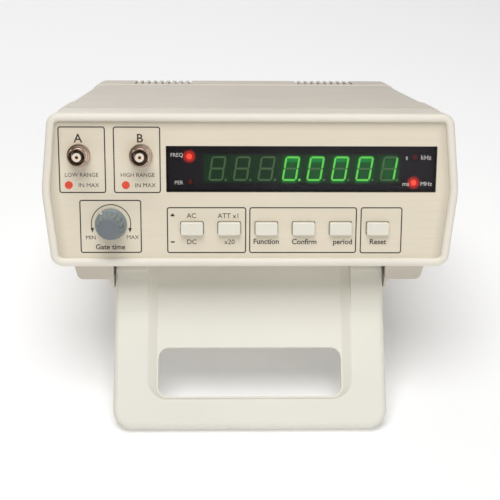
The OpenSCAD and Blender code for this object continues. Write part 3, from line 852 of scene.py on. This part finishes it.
class COUNTER_OT_handle(bpy.types.Operator):
    """Handle and stand in one moulding, drawn hanging straight down from its hinge"""

    bl_idname = "counter.handle"
    bl_label = "Handle"

    def execute(self, context):
        size = context.scene.counter_handle
        half = size.width / MM / 2
        reach = size.reach / MM
        front = -size.thickness / MM / 2
        drop = (size.thickness - size.web) / MM / 2
        hole = size.hole_width / MM / 2
        hole_top, hole_low = -size.hole_start / MM, -size.hole_end / MM
        shelf, slope, top, lip = 0.9, 5.7, 5.0, 2.1
        notch_round, hole_round, outer_edge = 12.4, 6.5, 3
        inner, lower = hole + shelf + slope, hole_low - lip
        bm = bmesh.new()
        crease = bm.edges.layers.float.new("bevel_weight_edge")
        points = [(-half, top), (-half, -reach), (half, -reach), (half, top),
                  (inner, top), (inner, lower), (-inner, lower), (-inner, top)]
        v = [bm.verts.new((x, front, z)) for x, z in points]
        bm.faces.new(v)
        bm.faces.new([v[7], v[6], v[5], v[4]])
        for vert in (v[1], v[2]):
            round_corner(bm, vert, size.corner / MM, 8)
        for vert in (v[5], v[6]):
            round_corner(bm, vert, notch_round, 8)
        # the recess with its sloping sides
        notch = next(f for f in bm.faces if all(abs(p.co.x) < inner + 0.1 for p in f.verts))
        bmesh.ops.inset_region(bm, faces=[notch], thickness=slope, depth=-drop, use_even_offset=True)
        web = next(f for f in bm.faces if all(abs(p.co.y - front - drop) < 0.01 for p in f.verts))
        for vert in web.verts:
            if vert.co.z < hole_top:
                vert.co.z += hole_low - shelf - (lower + slope)
        # the hand hole in the web
        round_web = web.edges[:]
        bmesh.ops.delete(bm, geom=[web], context="FACES_ONLY")
        hand = bmesh.new()
        tall = hole_top - hole_low
        shape = rectangle(2 * hole, tall, 0, hole_low + tall / 2)
        outline(hand, shape, [hole_round] * 4, front + drop, 8)
        bmesh.ops.delete(hand, geom=hand.faces[:], context="FACES_ONLY")
        drawn = set(bm.edges)
        add(bm, hand)
        round_hole = [e for e in bm.edges if e not in drawn]
        bmesh.ops.triangle_fill(bm, edges=round_web + round_hole, use_beauty=True, normal=(0, -1, 0))
        # edges down to the middle of the thickness, and the other half by mirroring
        drawn_out(bm, [e for e in bm.edges if e.is_boundary], 0)
        bmesh.ops.mirror(bm, geom=bm.verts[:] + bm.edges[:] + bm.faces[:], axis="Y", merge_dist=0.001)
        bmesh.ops.remove_doubles(bm, verts=bm.verts[:], dist=0.001)
        bmesh.ops.recalc_face_normals(bm, faces=bm.faces[:])
        bmesh.ops.dissolve_limit(bm, angle_limit=0.01, verts=bm.verts[:], edges=[
            e for e in bm.edges if all(abs(p.co.y) < 0.01 for p in e.verts)])
        for edge in bm.edges:
            if len(edge.link_faces) == 2 and edge.calc_face_angle() > math.radians(20):
                a, b = (p.co for p in edge.verts)
                flat = all(abs(abs(p.y) + front) < 0.01 for p in (a, b))
                outer = flat and (min(abs(a.x), abs(b.x)) > half - 1 or max(a.z, b.z) < lower - 5)
                edge[crease] = 1.0 if outer else 0.24 if flat else 0.12
        piece(bm, "handle_frame", "handle", "bezel_plastic", ["handle"], "handle_plastic", at=HUNG,
              edge=outer_edge, segments=5, weighted=True, clamp=False, smooth=30)
        return {"FINISHED"}


class COUNTER_OT_hubs(bpy.types.Operator):
    """Round hubs at the handle's hinge"""

    bl_idname = "counter.hubs"
    bl_label = "Hinge Hubs"

    def execute(self, context):
        half = context.scene.counter_handle.width / MM / 2
        radius, wide, bore, chamfer = 8, 21, 3.1, 0.8
        bm = bmesh.new()
        turned(bm, [(0, 0), (radius - chamfer, 0), (radius, chamfer), (radius, wide - chamfer),
                    (radius - chamfer, wide), (bore, wide), (bore, wide / 3), (0, wide / 3)], 0, 0)
        turn_flat(bm, -math.pi / 2, "Z", (half - wide, 0, 0))
        # the arm thickens towards its hub
        fairing = bmesh.new()
        angles = [math.pi * i / 16 for i in range(17)]
        crown = [((radius - 0.1) * math.cos(a), (radius - 0.1) * math.sin(a)) for a in angles]
        slab(fairing, [*crown, (-4.6, -31), (4.6, -31)], None, 0, wide - 0.5)
        outer = [e for e in fairing.edges if all(abs(v.co.y) < 0.01 for v in e.verts)]
        bmesh.ops.bevel(fairing, geom=outer, offset=2.6, segments=5, profile=0.5, affect="EDGES",
                        material=-1, clamp_overlap=False)
        turn_flat(fairing, math.pi / 2, "Z", (half - 0.15, 0, 0))
        add(bm, fairing)
        both_sides(bm)
        piece(bm, "handle_hubs", "handle", "bezel_plastic", ["handle"], "handle_plastic", at=HUNG)
        return {"FINISHED"}


# ---- the front --------------------------------------------------------------

class COUNTER_OT_print(bpy.types.Operator):
    """Printed lines, letters and marks on the front and rear panel"""

    bl_idname = "counter.print"
    bl_label = "Panel Print"

    def execute(self, context):
        bm = bmesh.new()
        for box in ((-114.3, -86.4, -1.5, 38.3), (-81.8, -53.8, -1.5, 38.3), (-102.7, -65.7, -38.2, -5.6),
                    (-50.5, -2.7, -38.3, -10), (-0.9, 64.1, -38.3, -10), (66.3, 91.6, -38.5, -10)):
            framed(bm, *box)
        for words, x, z, height, bold in (
                ("A", -102.4, 31.1, 7.2, 0.10), ("B", -66, 31.1, 7.2, 0.10),
                ("LOW RANGE", -100.9, 9.3, 3.4, 0), ("HIGH RANGE", -67.6, 9.3, 3.4, 0),
                ("IN MAX", -96.7, 3.1, 3.6, 0), ("IN MAX", -63.1, 3.1, 3.6, 0),
                ("MIN", -96.4, -28.8, 3.5, 0), ("MAX", -71.2, -28.6, 3.5, 0),
                ("AC", -35.7, -15.4, 4.2, 0.03), ("DC", -35.6, -31.5, 4.2, 0.03),
                ("ATT x1", -13.3, -15.4, 4.2, 0.02), ("x20", -12.75, -31.5, 4.2, 0.03),
                ("Gate time", -84.7, -34.6, 4.4, 0.085), ("Function", 9.4, -31.2, 4.5, 0.085),
                ("Confirm", 32.5, -31.4, 4.5, 0.085), ("period", 55.8, -31.4, 4.5, 0.085),
                ("Reset", 77.2, -31.4, 4.5, 0.085)):
            lettering(bm, words, x, z, height, bold=bold)
        # the marks beside the latching buttons: a bar with a peak above, a plain bar below
        for w, h, z, sunk in ((2.4, 0.9, -15.2, 0.02), (2.4, 0.9, -31.4, 0.02), (1.3, 1.3, -14.7, 0.021)):
            slab(bm, rectangle(w, h, -47.05, z), [0.2] * 4, RIM_DEPTH - sunk, RIM_DEPTH + 0.02, 2)
        self.gate_arc(bm)
        for words, x, z in (("AC IN", -80, 17.6), ("FUSE", -80, -29), ("POWER", -40, 15.2)):
            lettering(bm, words, x, z, 3.8, y=REAR_FACE, bold=0.04, facing=math.pi)
        piece(bm, "panel_print", "case", "black_plastic", finish="ink", edge=0)
        marks = bmesh.new()
        dot = [(0, RIM_DEPTH - 0.03), (2.4, RIM_DEPTH - 0.03), (2.4, RIM_DEPTH + 0.02)]
        for x in (-108.6, -74.7):
            turned(marks, dot, x, 3.3, 32)
        piece(marks, "level_marks", "case", "lamp_red", finish="red_ink", edge=0)
        return {"FINISHED"}

    def gate_arc(self, bm):
        """The arc round the knob, with an arrow head at each end."""
        part = bmesh.new()
        radius, line, reach = 11.8, 0.55, math.radians(212)
        verts = [part.verts.new((r, RIM_DEPTH - 0.02, 0)) for r in (radius - line / 2, radius + line / 2)]
        edge = part.edges.new(verts)
        turn_flat(part, -(math.pi + reach) / 2, "Y", (0, 0, 0))
        bmesh.ops.spin(part, geom=[*verts, edge], cent=(0, 0, 0), axis=(0, 1, 0), angle=reach, steps=48)
        thicken(part, part.faces[:], RIM_DEPTH + 0.02)
        bmesh.ops.translate(part, verts=part.verts[:], vec=(KNOB_X, 0, KNOB_Z))
        add(bm, part)
        for side in (-1, 1):
            head = [(-1.1, 1.3), (0, -1.6), (1.1, 1.3)]
            corners = [(KNOB_X + side * 11.3 + x, KNOB_Z - 3.8 + z) for x, z in head]
            slab(bm, corners, None, RIM_DEPTH - 0.022, RIM_DEPTH + 0.02)


class COUNTER_OT_sockets(bpy.types.Operator):
    """Input socket barrels with their bayonet studs"""

    bl_idname = "counter.sockets"
    bl_label = "Input Sockets"

    def execute(self, context):
        for name, x in SOCKETS.items():
            bm = bmesh.new()
            turned(bm, [(2.7, -1.4), (4.05, -1.6), (4.05, -9.1), (4.3, -9.5), (4.6, -9.5), (4.8, -9.2),
                        (4.8, -2.4), (5.6, -2.2), (5.9, -1.8), (5.9, -0.4), (6.6, -0.3), (6.9, 0.1),
                        (6.9, 2.5), (4.75, 2.5), (4.75, 12), (2.7, 12), (2.7, -1.4)], x, SOCKET_Z)
            self.studs(bm, Vector((x, -4.3, SOCKET_Z)))
            piece(bm, f"socket_{name}", "case", "nickel", ["socket_shells"], edge=0)
        return {"FINISHED"}

    def studs(self, bm, middle):
        """The two ends of a round bar that show on either side of the barrel."""
        rod = bmesh.new()
        bmesh.ops.create_cone(rod, cap_ends=True, segments=20, radius1=1, radius2=1, depth=11)
        bmesh.ops.bevel(rod, geom=[e for e in rod.edges if e.calc_face_angle(0) > 1], offset=0.25,
                        segments=3, profile=0.5, affect="EDGES", material=-1)
        turn = Matrix.Rotation(math.radians(130), 4, "Y")
        bmesh.ops.transform(rod, matrix=Matrix.Translation(middle) @ turn, verts=rod.verts[:])
        along = turn.to_3x3() @ Vector((0, 0, 1))
        for end in (-1, 1):
            part = rod.copy()
            bmesh.ops.bisect_plane(part, geom=part.verts[:] + part.edges[:] + part.faces[:],
                                   plane_no=-end * along, plane_co=middle + end * 4.2 * along,
                                   clear_outer=True)
            bmesh.ops.holes_fill(part, edges=[e for e in part.edges if e.is_boundary])
            add(bm, part)
        rod.free()


class COUNTER_OT_knob(bpy.types.Operator):
    """Fluted gate time knob with its white pointer"""

    bl_idname = "counter.knob"
    bl_label = "Knob"

    def execute(self, context):
        size = context.scene.counter_controls
        skirt, base, flutes = size.knob_diameter / MM / 2, KNOB_BASE, 14
        tip = base - size.knob_height / MM
        bm = bmesh.new()
        turned(bm, [(0, base), (skirt, base), (skirt, base - 1.4), (skirt - 0.25, base - 2),
                    (skirt - 0.8, base - 2.4), (8.35, base - 2.7), (8.2, base - 3.4), (7.9, base - 5),
                    (7.6, base - 7.5), (7.3, base - 10), (7.05, base - 12.2), (6.8, tip + 1.2),
                    (6.4, tip + 0.45), (5.8, tip + 0.1), (5.2, tip), (3, tip + 0.12), (0, tip + 0.16)],
               0, 0, flutes * 10)
        for vert in bm.verts:
            r = math.hypot(vert.co.x, vert.co.z)
            if tip + 0.9 < vert.co.y < base - 2.6 and r > 1:
                angle = math.atan2(vert.co.z, vert.co.x)
                groove = max(0, math.cos(flutes * angle)) ** 0.8 * 0.75
                vert.co.x *= (r - groove) / r
                vert.co.z *= (r - groove) / r
        bmesh.ops.translate(bm, verts=bm.verts[:], vec=(KNOB_X, 0, KNOB_Z))
        piece(bm, "knob", "gate_knob", "knob_plastic", ["gate_time_knob"], edge=0, smooth=50)
        mark = bmesh.new()
        slab(mark, rectangle(1.5, 3.0), [0.3] * 4, -0.1, 0.1, 3)
        turn = Matrix.Rotation(math.radians(-38), 4, "Y")
        lean = Matrix.Translation((0, base - 2.55, 8.6)) @ Matrix.Rotation(math.radians(10), 4, "X")
        centre = Matrix.Translation((KNOB_X, 0, KNOB_Z))
        bmesh.ops.transform(mark, matrix=centre @ turn @ lean, verts=mark.verts[:])
        piece(mark, "knob_pointer", "gate_knob", "cap_plastic", edge=0)
        return {"FINISHED"}


class COUNTER_OT_buttons(bpy.types.Operator):
    """Six push buttons"""

    bl_idname = "counter.buttons"
    bl_label = "Buttons"

    def execute(self, context):
        size = context.scene.counter_controls
        w, h = size.cap_width / MM, size.cap_height / MM
        for i, name in enumerate(BUTTONS):
            x = BUTTON_X + i * BUTTON_PITCH
            bm = bmesh.new()
            face = outline(bm, rectangle(w, h, x, BUTTON_Z), [1.1] * 4, 5)
            thicken(bm, [face], -0.5)
            front = min(bm.faces, key=lambda f: f.calc_center_median().y)
            for width, rise in ((0.28, 0.32), (0.5, 0.14)):
                bmesh.ops.inset_region(bm, faces=[front], thickness=width, depth=rise, use_even_offset=True)
                front = min(bm.faces, key=lambda f: f.calc_center_median().y)
            piece(bm, f"{name}_cap", f"{name}_key", "cap_plastic", [f"{name}_button"], edge=0.18,
                  smooth=20)
        return {"FINISHED"}


# ---- the display ------------------------------------------------------------

SEGMENTS = {"0": "abcdef", "1": "bc", "2": "abged", "3": "abgcd", "4": "fgbc", "5": "afgcd",
            "6": "afgedc", "7": "abc", "8": "abcdefg", "9": "abcdfg", " ": ""}


def digit_bars(w, h, stroke):
    """Each bar's centre, length and whether it stands upright, for one figure centred on 0."""
    x, z, tall = (w - stroke) / 2, (h - stroke) / 2, (h - stroke) / 2
    return {"a": (0, z, 2 * x, False), "g": (0, 0, 2 * x, False), "d": (0, -z, 2 * x, False),
            "f": (-x, tall / 2, tall, True), "b": (x, tall / 2, tall, True),
            "e": (-x, -tall / 2, tall, True), "c": (x, -tall / 2, tall, True)}


class COUNTER_OT_digits(bpy.types.Operator):
    """Seven-segment digits and the dark face behind them"""

    bl_idname = "counter.digits"
    bl_label = "Digits"

    def execute(self, context):
        size = context.scene.counter_controls
        w, h, stroke = size.digit_width / MM, size.digit_height / MM, size.stroke / MM
        gap = 0.12
        figures = []
        for sign in size.reading:
            if sign == ".":
                figures[-1] += "."
            else:
                figures.append(sign)
        for i, figure in enumerate(figures):
            x0 = DIGIT_X + i * DIGIT_PITCH
            body = bmesh.new()
            slab(body, rectangle(12.7, 19, x0, DIGIT_Z), [0.4] * 4, 6.9, 14)
            piece(body, f"digit_block_{i + 1}", "case", "digit_plastic", [f"digit_{i + 1}"],
                  "display_face", edge=0.2)
            groups = {True: bmesh.new(), False: bmesh.new()}
            for bar, (bx, bz, long, up) in digit_bars(w, h, stroke).items():
                e, t = long / 2 - gap, stroke / 2
                shape = [(e, 0), (e - t, t), (t - e, t), (-e, 0), (t - e, -t), (e - t, -t)]
                shape = [(-z, x) if up else (x, z) for x, z in shape]
                part = groups[bar in SEGMENTS[figure[0]]]
                slab(part, [(bx + x, bz + z) for x, z in shape], None, 6.6, 6.9)
            dot = groups["." in figure]
            turned(dot, [(0, 6.6), (0.75, 6.6), (0.75, 6.9), (0, 6.9)], w / 2 + 1.7,
                   -h / 2 + stroke / 2, 16)
            for lit, bm in groups.items():
                if not bm.verts:
                    bm.free()
                    continue
                for vert in bm.verts:
                    vert.co.x += vert.co.z * LEAN
                bmesh.ops.translate(bm, verts=bm.verts[:], vec=(x0, 0, DIGIT_Z))
                bmesh.ops.recalc_face_normals(bm, faces=bm.faces[:])
                state = "lit" if lit else "unlit"
                piece(bm, f"digit_{state}_{i + 1}", "case", "digit_plastic", finish=f"{state}_bar", edge=0)
        back = bmesh.new()
        slab(back, rectangle(161, 27, WINDOW_X, WINDOW_Z), [0.5] * 4, 7.1, 7.9)
        piece(back, "display_mask", "case", "black_plastic", finish="display_face", edge=0.1)
        return {"FINISHED"}


class COUNTER_OT_lamps(bpy.types.Operator):
    """Indicator lamps, and the words beside them"""

    bl_idname = "counter.lamps"
    bl_label = "Lamps"

    def execute(self, context):
        for name, (x, z, lit) in LAMPS.items():
            bm = bmesh.new()
            angles = (0, 0.3, 0.6, 0.9, 1.2, math.pi / 2)
            dome = [(1.5 * math.sin(a), 6.9 - 0.6 * math.cos(a)) for a in angles]
            turned(bm, [*dome, (1.5, 14), (0, 14)], x, z, 24)
            piece(bm, f"lamp_{name}", "case", "lamp_red", ["indicator_lamps"],
                  "lit_lamp" if lit else "unlit_lamp", edge=0)
        words = bmesh.new()
        for text, x, z, height in (("FREQ", -44.2, 21.4, 3.2), ("PER", -43.1, 4.8, 3.2),
                                   ("s", 93, 20.1, 3.9), ("kHz", 104.6, 20.1, 3.9),
                                   ("ms", 92.9, 4.2, 3.7), ("MHz", 105.2, 4.2, 3.7)):
            lettering(words, text, x, z, height, y=2.38)
        piece(words, "window_print", "case", "cap_plastic", finish="white_ink", edge=0)
        return {"FINISHED"}


# ---- what keeps its mechanical shape ---------------------------------------

class COUNTER_OT_frame_finishes(bpy.types.Operator):
    """Finishes of the pieces that keep their mechanical shape"""

    bl_idname = "counter.frame_finishes"
    bl_label = "Frame Finishes"

    def execute(self, context):
        for part in frame["record"]["subparts"]:
            node = frame["nodes"][part["node"]]
            node.data.materials.clear()
            node.data.materials.append(slot_finish(part["material_slot"]))
        return {"FINISHED"}


# ---- the stage --------------------------------------------------------------

class COUNTER_OT_stage(bpy.types.Operator):
    """Floor, lights and camera"""

    bl_idname = "counter.stage"
    bl_label = "Stage"

    def execute(self, context):
        bm = bmesh.new()
        bmesh.ops.create_grid(bm, x_segments=1, y_segments=1, size=20)
        mesh = bpy.data.meshes.new("floor")
        bm.to_mesh(mesh)
        bm.free()
        mesh.materials.append(look("floor_paint"))
        floor = bpy.data.objects.new("floor", mesh)
        context.scene.collection.objects.link(floor)
        self.camera(context)
        for name, place, target, size, power in (
                ("key", (-0.15, -0.8, 2.0), (0, -0.05, 0.08), 1.4, 34),
                ("fill", (0.7, -1.8, 0.6), (0, -0.05, 0.1), 1.4, 7),
                ("top", (0.1, 0.5, 1.8), (0, 0, 0.1), 1.4, 3),
                ("rear", (-0.6, 1.6, 0.9), (0, 0.1, 0.08), 1.2, 6)):
            self.light(context, name, Vector(place), Vector(target), size, power)
        world = bpy.data.worlds.new("studio")
        context.scene.world = world
        world.use_nodes = True
        world.node_tree.nodes["Background"].inputs["Color"].default_value = (1, 1, 1, 1)
        world.node_tree.nodes["Background"].inputs["Strength"].default_value = 0.13
        context.scene.view_settings.view_transform = "Standard"
        return {"FINISHED"}

    def camera(self, context):
        """Camera in front and a little above, looking down at the panel."""
        ahead = TURN.to_3x3() @ Vector((0.0242, 0.9750, -0.2207)).normalized()
        lens = bpy.data.cameras.new("camera")
        lens.lens = 78.5
        lens.sensor_width = 36
        view = bpy.data.objects.new("camera", lens)
        side = ahead.cross(UP).normalized()
        top = side.cross(ahead)
        turn = Matrix((side, top, -ahead)).transposed().to_4x4()
        roll = Matrix.Rotation(math.radians(0.3), 4, "Z")
        view.matrix_world = Matrix.Translation(LEVEL @ Vector((-16.36, -642.26, 109.55))) @ turn @ roll
        context.scene.collection.objects.link(view)
        context.scene.camera = view

    def light(self, context, name, place, target, size, power):
        lamp = bpy.data.lights.new(name, "AREA")
        lamp.size = size
        lamp.energy = power
        holder = bpy.data.objects.new(name, lamp)
        holder.location = place
        holder.rotation_euler = (target - place).to_track_quat("-Z", "Y").to_euler()
        context.scene.collection.objects.link(holder)


# ---- add-on -----------------------------------------------------------------

OPERATORS = (COUNTER_OT_stage, COUNTER_OT_frame_finishes, COUNTER_OT_covers, COUNTER_OT_rails,
             COUNTER_OT_bezel, COUNTER_OT_handle, COUNTER_OT_hubs, COUNTER_OT_print, COUNTER_OT_sockets,
             COUNTER_OT_knob, COUNTER_OT_buttons, COUNTER_OT_digits, COUNTER_OT_lamps)
SETTINGS = {"counter_case": CaseSettings, "counter_handle": HandleSettings,
            "counter_controls": ControlSettings, "counter_colours": ColourSettings}


class COUNTER_PT_panel(bpy.types.Panel):
    """Lists the settings and the pieces"""

    bl_idname = "COUNTER_PT_panel"
    bl_label = "Frequency Counter"
    bl_space_type = "VIEW_3D"
    bl_region_type = "UI"
    bl_category = "Counter"

    def draw(self, context):
        for name, group in SETTINGS.items():
            box = self.layout.box()
            for setting in group.__annotations__:
                box.prop(getattr(context.scene, name), setting)
        for operator in OPERATORS:
            self.layout.operator(operator.bl_idname)


def register():
    for name, group in SETTINGS.items():
        bpy.utils.register_class(group)
        setattr(bpy.types.Scene, name, bpy.props.PointerProperty(type=group))
    for cls in (*OPERATORS, COUNTER_PT_panel):
        bpy.utils.register_class(cls)


def unregister():
    for cls in (COUNTER_PT_panel, *reversed(OPERATORS)):
        bpy.utils.unregister_class(cls)
    for name, group in SETTINGS.items():
        delattr(bpy.types.Scene, name)
        bpy.utils.unregister_class(group)


def main():
    register()
    for operator in OPERATORS:
        family, name = operator.bl_idname.split(".")
        getattr(getattr(bpy.ops, family), name)()


if __name__ == "__main__":
    main()
